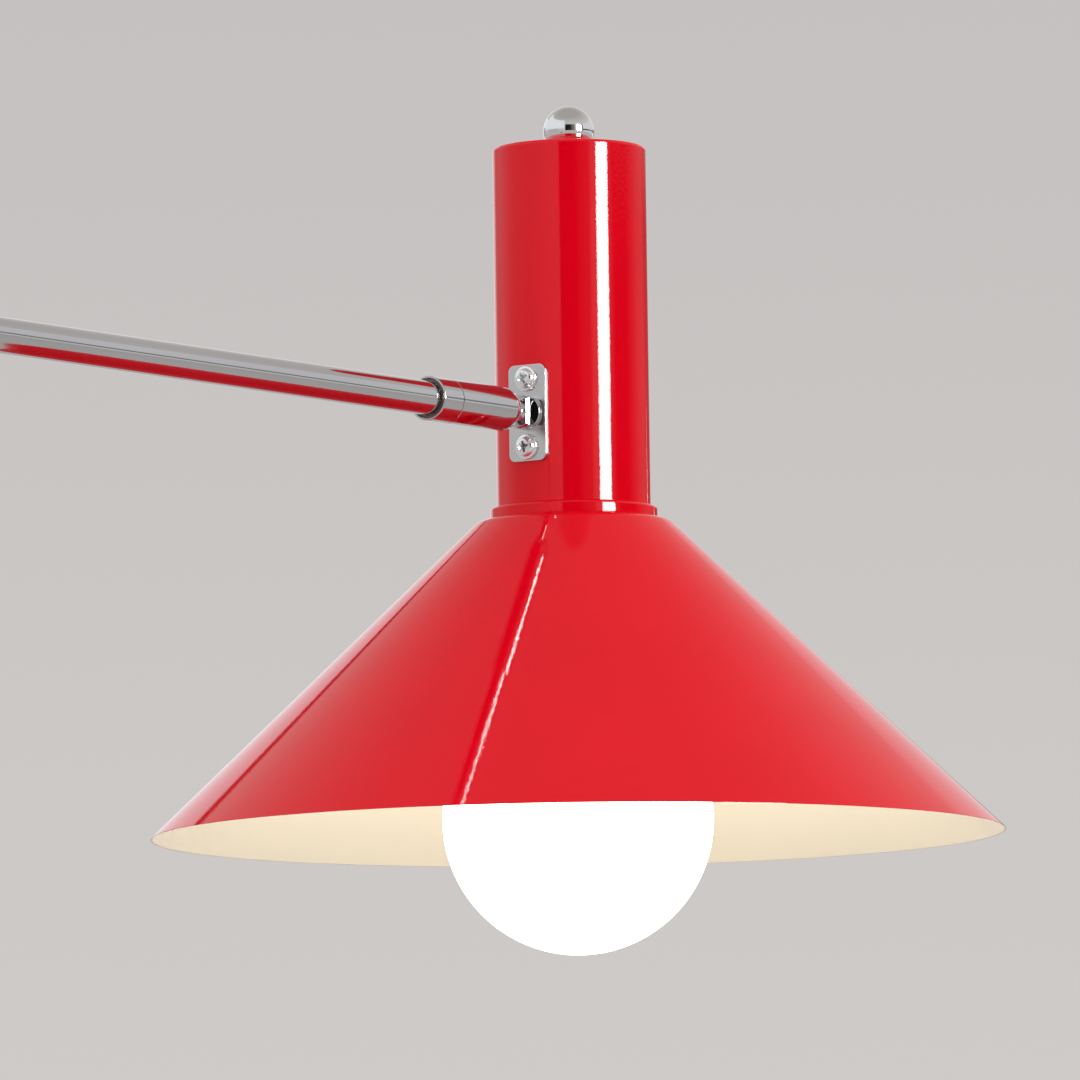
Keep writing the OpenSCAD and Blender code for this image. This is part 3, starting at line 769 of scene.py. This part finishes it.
def fluted_knob(name, radius, low, high, place, below, count, depth):
    """A turned knob with straight flutes between two heights; below is the outline under it."""
    start, stop = low + 1.2, high - 1.6
    grip = eased(
        [
            (below[-1][0], low, 0), (radius, low, 0.9),
            (radius, start, 0), (radius, start + 0.4, 0),
            (radius, stop - 0.4, 0), (radius, stop, 0),
            (radius, high, 1.3), (radius * 0.62, high, 0.5),
            (radius * 0.56, high - 0.5, 0.3), (0, high - 0.5, 0),
        ],
        steps=6,
    )
    flutes = (count, depth, start + 0.3, stop - 0.3)
    return turned(name, line(*below) + grip, place, sides=count * 8, flutes=flutes)


def make_weight_screw():
    stem = [
        (0, 6.1), (2.1, 6.1), (2.45, 6.5), (2.45, 30.4),
        (3.9, 30.4), (4.0, 30.5), (4.0, 32.3), (4.4, 32.4),
    ]
    place = along(UP, WEIGHT_X, 0, ARM_Z)
    mesh = fluted_knob("weight_screw", 6.5, 32.4, 39.4, place, stem, count=30, depth=0.45)
    piece("weight_screw", mesh, "weight_screw", "bright_chrome", chrome, "weight_screw")


# ---------------------------------------------------------------- fork and stem

FORK_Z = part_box("swivel_bush")[1].z
STEM_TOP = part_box("stem_tube")[1].z
BASE_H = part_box("stem_tube")[0].z
CHEEK = 11.5  # from the fork's middle to its outer faces, in mm


def make_fork():
    """The fork on its spigot, which has a groove for the clip that keeps it in the stem."""
    radius, slot, wire_r, spigot_r, groove_r = 13, 8.9, 2.4, 4.84, 4
    foot, floor, pivot = FORK_Z / MM + 0.02, PIVOT_Z / MM - 12, PIVOT_Z / MM
    top = pivot + 20
    blank = line((0, foot), (radius, foot), (radius, top), (0, top))
    body = turned("fork", blank, ON_BASE, sides=128)
    side_on = Matrix.Rotation(math.radians(-90), 4, "X")
    tomb = line((radius, -foot), (radius, -pivot))
    tomb += arc(0, -pivot, radius, 0, -180, 48)[1:-1]
    tomb += line((-radius, -pivot), (-radius, -foot))
    body = carved(body, prism("tool", tomb, -CHEEK, CHEEK, side_on), "INTERSECT")
    gap = [(-30, -slot), (30, -slot), (30, slot), (-30, slot)]
    body = carved(body, prism("tool", gap, floor, pivot + 40, ON_BASE))
    body = bevelled(body, 0.45, 3)
    body = carved(body, drill(wire_r, foot - 5, pivot, ON_BASE, sides=48))
    body = carved(body, drill(4.06, -20, 20, AT_PIVOT, sides=64))
    outline = line(
        (wire_r, foot - 27), (4.5, foot - 27), (spigot_r, foot - 26.6), (spigot_r, foot - 25),
        (groove_r, foot - 25), (groove_r, foot - 23.8), (spigot_r, foot - 23.8),
        (spigot_r, foot), (wire_r, foot),
    )
    spigot = turned("tool", outline, ON_BASE, sides=64, closed=True)
    mesh = merged("fork", body, spigot)
    piece("fork", mesh, "yoke", "bright_chrome", chrome, "fork")


def make_pivot_bolt():
    """The shoulder bolt, with a hexagon socket in its head."""
    shoulder, thread, socket = 4, 3, 2 / math.cos(math.radians(30))
    outline = eased(
        [
            (0, -CHEEK - 3.6, 0), (5.4, -CHEEK - 3.6, 1.0), (7, -CHEEK - 1.4, 1.2),
            (7, -CHEEK, 0.15), (shoulder, -CHEEK, 0),
        ],
        steps=6,
    )
    outline += line(
        (shoulder, CHEEK - 0.4), (thread, CHEEK - 0.4), (thread, CHEEK + 10.6),
        (thread - 0.4, CHEEK + 11), (0, CHEEK + 11),
    )
    mesh = turned("pivot_bolt", outline, AT_PIVOT, sides=96)
    hexagon = arc(0, 0, socket, 0, 300, 5)
    mesh = carved(mesh, prism("tool", hexagon, -CHEEK - 5, -CHEEK - 1.4, AT_PIVOT))
    piece("pivot_bolt", mesh, "yoke", "bright_chrome", chrome, "pivot_bolt")


def make_tilt_knob():
    foot, bore = 13.0, 3.06
    neck = [
        (0, foot + 10), (bore, foot + 10), (bore, foot),
        (7.3, foot), (7.5, foot + 0.2), (7.5, foot + 2.9),
    ]
    mesh = fluted_knob("tilt_knob", 11, foot + 3, foot + 14, AT_PIVOT, neck, count=40, depth=0.8)
    piece("tilt_knob", mesh, "tilt_knob", "bright_chrome", chrome, "tilt_knob")


def make_stem():
    """The stem's tube, the bush in its top and the flange at its foot."""
    low, high, radius, bore, parts = BASE_H / MM, STEM_TOP / MM, 8, 6.5, 10
    outline = line((bore, low), (radius, low))
    outline += line(*((radius, low + (high - low) * k / parts) for k in range(1, parts)))
    outline += line((radius, high - 0.15), (radius - 0.15, high), (bore, high))
    mesh = turned("stem_tube", outline, ON_BASE, sides=128, closed=True)
    piece("stem_tube", mesh, "base", "bright_chrome", chrome, "stem_tube")

    outline = eased(
        [
            (4.91, high - 22, 0), (6.48, high - 22, 0.3), (6.48, high + 0.02, 0),
            (radius, high + 0.02, 0.15), (radius, high + 0.96, 0.15), (4.91, high + 0.96, 0),
        ],
        closed=True,
        steps=3,
    )
    mesh = turned("swivel_bush", outline, ON_BASE, sides=96, closed=True)
    piece("swivel_bush", mesh, "base", "white_nylon", nylon, "swivel_bush")

    wide, top, inner = 18, low + 11, radius + 0.02
    outline = line(
        (inner, low), (wide - 0.2, low), (wide, low + 0.2),
        (wide, low + 1.4), (wide - 0.2, low + 1.6),
    )
    outline += arc(wide, top, 9.4, 268, 182, 24) + line((8.5, top), (inner, top))
    mesh = turned("stem_flange", outline, ON_BASE, sides=160, closed=True)
    piece("stem_flange", mesh, "base", "bright_chrome", chrome, "stem_flange")


# ---------------------------------------------------------------- base

CABLE_Z = 10 * MM


def make_base():
    """The base's shell, and the pad under it with wells for its three screws."""
    radius, high, wall, pad, stem_hole = 115, BASE_H / MM, 1.2, 2.0, 5.3
    outline = eased(
        [
            (stem_hole, high, 0), (radius, high, 6), (radius, pad, 0.3),
            (radius - wall, pad, 0.3), (radius - wall, high - wall, 4.8),
            (stem_hole, high - wall, 0),
        ],
        closed=True,
        steps=14,
    )
    shell = turned("base_shell", outline, ON_BASE, sides=320, closed=True)
    rear = along(-BACK, -radius * MM, 0, CABLE_Z)
    shell = carved(shell, drill(4.6, -5, 9, rear, sides=48))
    piece("base_shell", shell, "base", "red_lacquer", lacquer, "base_shell")

    pad_r, screws_r = radius - 7, (radius - 22) * MM
    outline = eased([(0, 0, 0), (pad_r, 0, 0.6), (pad_r, pad, 0.1), (0, pad, 0)], steps=4)
    mat = turned("base_pad", outline, ON_BASE, sides=256)
    for angle in (60, 180, 300):
        a = math.radians(angle)
        place = along(UP, screws_r * math.cos(a), screws_r * math.sin(a), 0)
        mat = carved(mat, drill(4.5, -2, 4, place, sides=40))
    piece("base_pad", mat, "base", "black_rubber", rubber, "base_pad")


def make_gland():
    """The cable gland: a ribbed tapered sleeve outside the shell and a collar inside it."""
    bore, groove = 3.2, 4.5
    outline = line((bore, -5), (3.9, -5), (4.2, -4.8))
    for k in range(3):
        z, grow = -4.4 + k * 1.4, 0.3 * k
        rib, waist = 4.35 + grow, 4.0 + grow
        outline += line((rib, z), (rib, z + 0.7), (waist, z + 0.8), (waist, z + 1.3))
    outline += line((5.5, -0.2), (5.5, -0.02), (groove, -0.02), (groove, 1.5))
    outline += line((5.1, 1.5), (4.6, 4), (4.5, 6.4), (bore, 6.4))
    place = along(-BACK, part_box("base_shell")[0].x, 0, CABLE_Z)
    mesh = turned("cable_gland", outline, place, sides=80, closed=True)
    piece("cable_gland", mesh, "base", "black_rubber", rubber, "cable_gland")


# ---------------------------------------------------------------- bulb and its holder


def make_bulb():
    """The globe, a thin wall that narrows into the cap."""
    radius, centre, wall, top = 47.5, 5.6, 1.0, 68
    neck = centre + radius * math.sin(math.radians(top))
    outside = [(16.2, 2.4), (15.4, 5), (14.2, 10), (13.4, 15), (12.6, 17.5), (12.6, 21.5)]
    inside = [(11.6, 21.5), (11.6, 17), (12.4, 14.5), (13.2, 9.5), (14.4, 4.5)]
    outline = arc(0, centre, radius, -90, top, 72)
    outline += line(*((r, neck + up) for r, up in outside + inside))
    outline += arc(0, centre, radius - wall, top, -90, 48)
    outline[0] = Vector((0, centre - radius))
    outline[-1] = Vector((0, centre - radius + wall))
    mesh = turned("bulb_globe", outline, IN_HEAD, sides=192)
    piece("bulb_globe", mesh, "head", "opal_glass", opal, "bulb_globe")


def make_holder():
    rim, top, roof, floor, bore = 66.0, 121.0, 127.0, 98, 13.8
    outline = eased(
        [
            (bore, rim, 0.4), (19.4, rim, 0.8), (19.75, rim + 1.4, 0.4), (19.75, top, 0),
            (22.5, top, 0.3), (22.5, top + 2.4, 0.6), (15, roof, 1), (5, roof, 0.3),
            (5, roof - 8, 0), (4, roof - 8, 0), (4, floor, 0), (bore, floor, 0.5),
        ],
        closed=True,
        steps=5,
    )
    mesh = turned("lamp_holder", outline, IN_HEAD, sides=144, closed=True)
    piece("lamp_holder", mesh, "head", "porcelain", ceramic, "lamp_holder")


for make in (
    make_shade, make_housing, make_collar, make_knob_ball,
    make_plate, make_plate_screws, make_ball_stud,
    make_socket, make_ring, make_arm_tube, make_end_ball, make_arm_block,
    make_counterweight, make_weight_screw, make_fork, make_pivot_bolt, make_tilt_knob,
    make_stem, make_base, make_gland, make_bulb, make_holder,
):
    make()

# ---------------------------------------------------------------- CAD nodes that stay

LOOKS = {
    "red_lacquer": lacquer,
    "bright_chrome": chrome,
    "zinc_steel": zinc,
    "raw_iron": iron,
    "black_rubber": rubber,
    "white_nylon": nylon,
    "porcelain": ceramic,
    "holder_plastic": cream_plastic,
    "contact_brass": brass,
    "lead_sheath": sheath,
    "black_plastic": black_plastic,
    "opal_glass": opal,
    "cap_nickel": cap_metal,
    "led_white": led_white,
}
SLOT_OF = {part["node"]: part["material_slot"] for part in frame["record"]["subparts"]}
for node, thing in frame["nodes"].items():
    if thing.hide_render:
        continue
    thing.data.materials.clear()
    thing.data.materials.append(LOOKS[SLOT_OF[node]])
    thing.data.polygons.foreach_set("material_index", [0] * len(thing.data.polygons))

# ---------------------------------------------------------------- floor, room and light

# The room's brightness where shiny things mirror it at eye level, by degrees round from the
# camera towards its right.
WALLS = (
    (-180, 0.36), (-155, 0.42), (-138, 0.41), (-122, 0.62), (-112, 0.64), (-95, 0.52),
    (-60, 0.50), (-31, 0.65), (-17, 0.69), (-14.5, 0.012), (8, 0.012), (15, 0.13), (29, 0.28),
    (33, 0.9), (39, 1.0), (63, 0.5), (69, 0.03), (92, 0.03), (106, 0.24), (118, 0.38),
    (134, 0.32), (148, 0.10), (164, 0.12), (180, 0.36),
)
# Patches of the room: left, right, low and high edges in degrees, then how soft the edges are.
WINDOW = (40.5, 59.5, -28, 24, 1.6)
FAR_WINDOW = (146.6, 148.4, 2, 6.2, 1.0)
CORNICE = (-200, -20, 12, 26)
PALE_WALL = (-200, -152, -5, 26)
PALE_CEILING = (-137, -20, 9, 45, 5)
DARK_LINE = (-200, -138, 25.6, 27.6, 0.8)
WINDOW_LIGHT, FAR_WINDOW_LIGHT = 36, 4
BACKDROP_LOW, BACKDROP_HIGH = (0.617, 0.597, 0.580), (0.556, 0.531, 0.527)
BACKDROP_FROM, BACKDROP_SPAN = 3.1, 5.4  # degrees above the level


def make_floor():
    half, under = 60, -0.0002
    corners = ((-1, -1), (1, -1), (1, 1), (-1, 1))
    bm = bmesh.new()
    bm.faces.new([bm.verts.new((a * half, b * half, under)) for a, b in corners])
    floor = bpy.data.objects.new("floor", to_mesh("floor", bm))
    paint = material(
        "floor_paint", (0.62, 0.605, 0.59), 0.8, grain=60, bump=1e-5, vary=0.01,
        specular_ior_level=0.0,
    )
    floor.data.materials.append(paint)
    scene.collection.objects.link(floor)


def grey(level, warmth=0.03):
    return (level * (1 + warmth), level, level * (1 - warmth))


def make_room():
    """The studio: an even soft light, and a room for shiny things to mirror."""
    world = bpy.data.worlds.new("studio")
    scene.world = world
    world.use_nodes = True
    n = Nodes(world.node_tree)
    sky = n.add("ShaderNodeTexCoord").outputs["Generated"]
    towards = n.dot(sky, TO_CAMERA)
    rightwards = n.dot(sky, TO_RIGHT)
    height = n.dot(sky, UP)
    turn = n.math("MULTIPLY", n.math("ARCTAN2", rightwards, towards), 180 / math.pi)
    rise = n.math("MULTIPLY", n.math("ARCSINE", height), 180 / math.pi)

    def scaled(value, factor, plus, clamp=False):
        out = n.math("MULTIPLY_ADD", value, factor, clamp=clamp)
        out.node.inputs[2].default_value = plus
        return out

    def above(value, edge, soft):
        return scaled(value, 1 / soft, 0.5 - edge / soft, clamp=True)

    def below(value, edge, soft):
        return scaled(value, -1 / soft, 0.5 + edge / soft, clamp=True)

    def both(a, b):
        return n.math("MULTIPLY", a, b)

    def either(a, b):
        return n.math("MAXIMUM", a, b)

    def without(a):
        return n.math("SUBTRACT", 1, a)

    def patch(left, right, low, high, soft=1.5):
        across = both(above(turn, left, soft), below(turn, right, soft))
        return both(across, both(above(rise, low, soft), below(rise, high, soft)))

    stops = [(0.5 + at / 360, grey(level)) for at, level in WALLS]
    room = n.ramp(scaled(turn, 1 / 360, 0.5), stops)
    # To the right the furniture is a low band between paler walls.
    off_band = either(below(rise, 3.8, 1.6), above(rise, 8.2, 1.6))
    room = n.mix(both(above(turn, 69, 4), off_band), room, grey(0.80, 0.0))
    room = n.mix(either(patch(*CORNICE), patch(*PALE_WALL)), room, grey(1.0, -0.03))
    room = n.mix(patch(*PALE_CEILING), room, grey(0.95, -0.03))
    ceiling = n.mix(above(rise, 46, 30), grey(0.64, 0.04), grey(0.44, 0.06))
    plain_ceiling = both(above(rise, 27, 3), without(patch(-137, -20, 20, 45)))
    room = n.mix(plain_ceiling, room, ceiling)
    room = n.mix(patch(*DARK_LINE), room, grey(0.06))
    window, far_window = patch(*WINDOW), patch(*FAR_WINDOW)
    room = n.mix(either(window, far_window), room, grey(1.0, 0.02))
    glare = n.math("ADD", scaled(window, WINDOW_LIGHT, 1), scaled(far_window, FAR_WINDOW_LIGHT, 0))

    # The even light on dull things, a little stronger from the right and the camera's side.
    lean = n.math("ADD", scaled(towards, 0.11, 0), scaled(height, -0.1, 0))
    lean = n.math("ADD", scaled(rightwards, 0.22, 0.97), lean)

    seen = n.add("ShaderNodeLightPath")
    glossy, straight = seen.outputs["Is Glossy Ray"], seen.outputs["Is Camera Ray"]
    high = scaled(rise, 1 / BACKDROP_SPAN, -BACKDROP_FROM / BACKDROP_SPAN, clamp=True)
    colour = n.mix(glossy, (1.0, 0.985, 0.975), room)
    colour = n.mix(straight, colour, n.mix(high, BACKDROP_LOW, BACKDROP_HIGH))
    strength = n.math("ADD", both(glossy, glare), both(without(glossy), lean))
    strength = n.math("ADD", both(strength, without(straight)), straight)
    back = n.tree.nodes["Background"]
    n.join(colour, back.inputs["Color"])
    n.join(strength, back.inputs["Strength"])


def make_key():
    """A weak soft key light from the camera's upper right, which nothing mirrors."""
    target = Vector((HEAD_X, 0, RIM_Z))
    place = target + (TO_CAMERA * 0.62 + TO_RIGHT * 0.72 + UP * 0.75) * 3.2
    data = bpy.data.lights.new("key", "AREA")
    data.shape = "DISK"
    data.size = 1.6
    data.energy = 10
    data.color = (1.0, 0.98, 0.95)
    light = bpy.data.objects.new("key", data)
    light.location = place
    light.rotation_mode = "QUATERNION"
    light.rotation_quaternion = (target - place).to_track_quat("-Z", "Y")
    light.visible_glossy = False
    light.visible_camera = False
    scene.collection.objects.link(light)


make_floor()
make_room()
make_key()
scene.view_settings.view_transform = "Standard"
